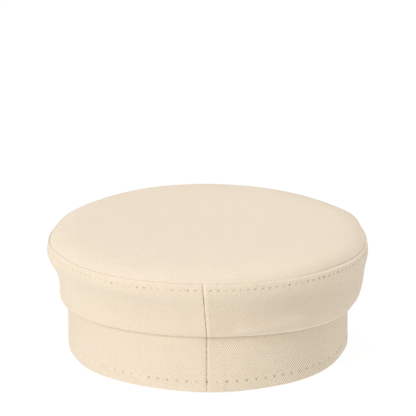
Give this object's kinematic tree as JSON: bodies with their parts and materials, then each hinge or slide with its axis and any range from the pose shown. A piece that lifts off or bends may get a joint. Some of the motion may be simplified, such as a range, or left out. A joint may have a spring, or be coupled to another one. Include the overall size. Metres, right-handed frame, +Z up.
{
  "type": "baker boy hat",
  "caption": "Baker boy hat in cotton twill with a low domed oval top, a flared crown wall that rolls over a straight head band, and a short front peak.",
  "frame": {"origin": "on the surface that the hat stands on, under the middle of its overall length and width", "axes": "+X to the wearer's right, +Y forward to the peak, +Z up through the crown"},
  "size_m": [0.1998, 0.2587, 0.0774],
  "materials": {
    "twill": "matt cream cotton twill with a fine diagonal rib"
  },
  "bodies": {
    "root": {"crown_top": "twill", "crown_side_right": "twill", "crown_side_left": "twill", "band": "twill", "peak": "twill"}
  },
  "joints": []
}
